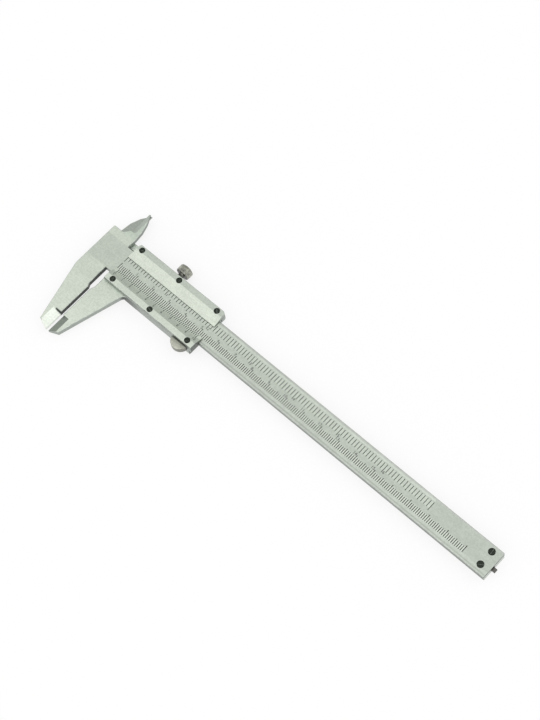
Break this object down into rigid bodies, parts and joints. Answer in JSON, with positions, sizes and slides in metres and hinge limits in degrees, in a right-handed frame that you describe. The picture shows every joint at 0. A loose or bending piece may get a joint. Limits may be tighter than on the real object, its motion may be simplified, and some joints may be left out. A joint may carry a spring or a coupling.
{
  "type": "vernier caliper",
  "caption": "Flat steel vernier caliper with outside jaws, crossed inside blades, a sliding vernier frame with a knurled lock screw, a thumb rest and a depth rod.",
  "frame": {"origin": "bottom centre of the box round the part as it lies at rest, on the slider's back plane", "axes": "+X along the beam, away from the jaws; +Y towards the inside blades; +Z out of the scale's face"},
  "size_m": [0.2318, 0.0706, 0.0084],
  "materials": {
    "beam_steel": "satin ground",
    "end_plate_steel": "satin ground",
    "slider_steel": "satin ground",
    "plate_steel": "satin chrome",
    "black_screws": "black oxide",
    "gib_bronze": "rolled",
    "small_steel": "plain steel",
    "rod_steel": "drawn",
    "nickel": "satin nickel"
  },
  "bodies": {
    "beam": {"main_beam": "beam_steel", "end_stop_plate": "end_plate_steel", "end_stop_screw_1": "black_screws", "end_stop_screw_2": "black_screws"},
    "slider": {"slider_body": "slider_steel", "upper_vernier_plate": "plate_steel", "lower_vernier_plate": "plate_steel", "upper_plate_screw_1": "black_screws", "upper_plate_screw_2": "black_screws", "upper_plate_screw_3": "black_screws", "lower_plate_screw_1": "black_screws", "lower_plate_screw_2": "black_screws", "lower_plate_screw_3": "black_screws", "gib_strip": "gib_bronze", "gib_screw_1": "small_steel", "gib_screw_2": "small_steel", "depth_rod": "rod_steel", "depth_rod_rivet": "small_steel", "thumb_rest": "nickel", "thumb_rest_pin": "small_steel"},
    "lock_screw": {"lock_screw": "nickel"}
  },
  "joints": [
    {"name": "slider_slide", "type": "slide", "parent": "beam", "child": "slider", "axis": [1, 0, 0], "range_m": [-0.0017, 0.1483]},
    {"name": "lock_screw_turn", "type": "hinge", "parent": "slider", "child": "lock_screw", "pos_m": [-0.07575, 0.0235, 0.0046], "axis": [0, 1, 0], "range_deg": [-180, 360]}
  ]
}
